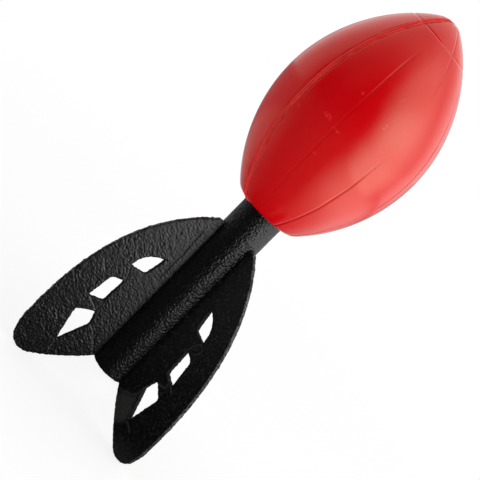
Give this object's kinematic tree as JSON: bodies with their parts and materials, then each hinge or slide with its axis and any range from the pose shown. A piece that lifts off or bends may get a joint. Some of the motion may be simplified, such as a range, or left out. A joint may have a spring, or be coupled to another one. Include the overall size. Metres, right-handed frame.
{
  "type": "vortex throwing toy",
  "caption": "Foam throwing toy for field practice: a pointed oval red foam head glued onto a black foam tail shaft with swept, cut-out foam fins.",
  "frame": {"origin": "centre of the tail shaft's flat cut end, on the toy's own axis; the fin tips reach about 24 mm below it", "axes": "+Z along the toy's axis from the cut end to the nose; +Y towards fin_1; -Y between the two fins that the picture shows; the toy stands nose up on its fin tips"},
  "size_m": [0.1062, 0.108, 0.2984],
  "materials": {
    "head_foam": "satin self-skinned foam",
    "shaft_foam": "leathery extruded foam skin",
    "fin_foam": "wrinkled matt foam sheet"
  },
  "bodies": {
    "root": {"foam_head": "head_foam", "tail_shaft": "shaft_foam", "fin_1": "fin_foam", "fin_2": "fin_foam", "fin_3": "fin_foam"}
  },
  "joints": []
}
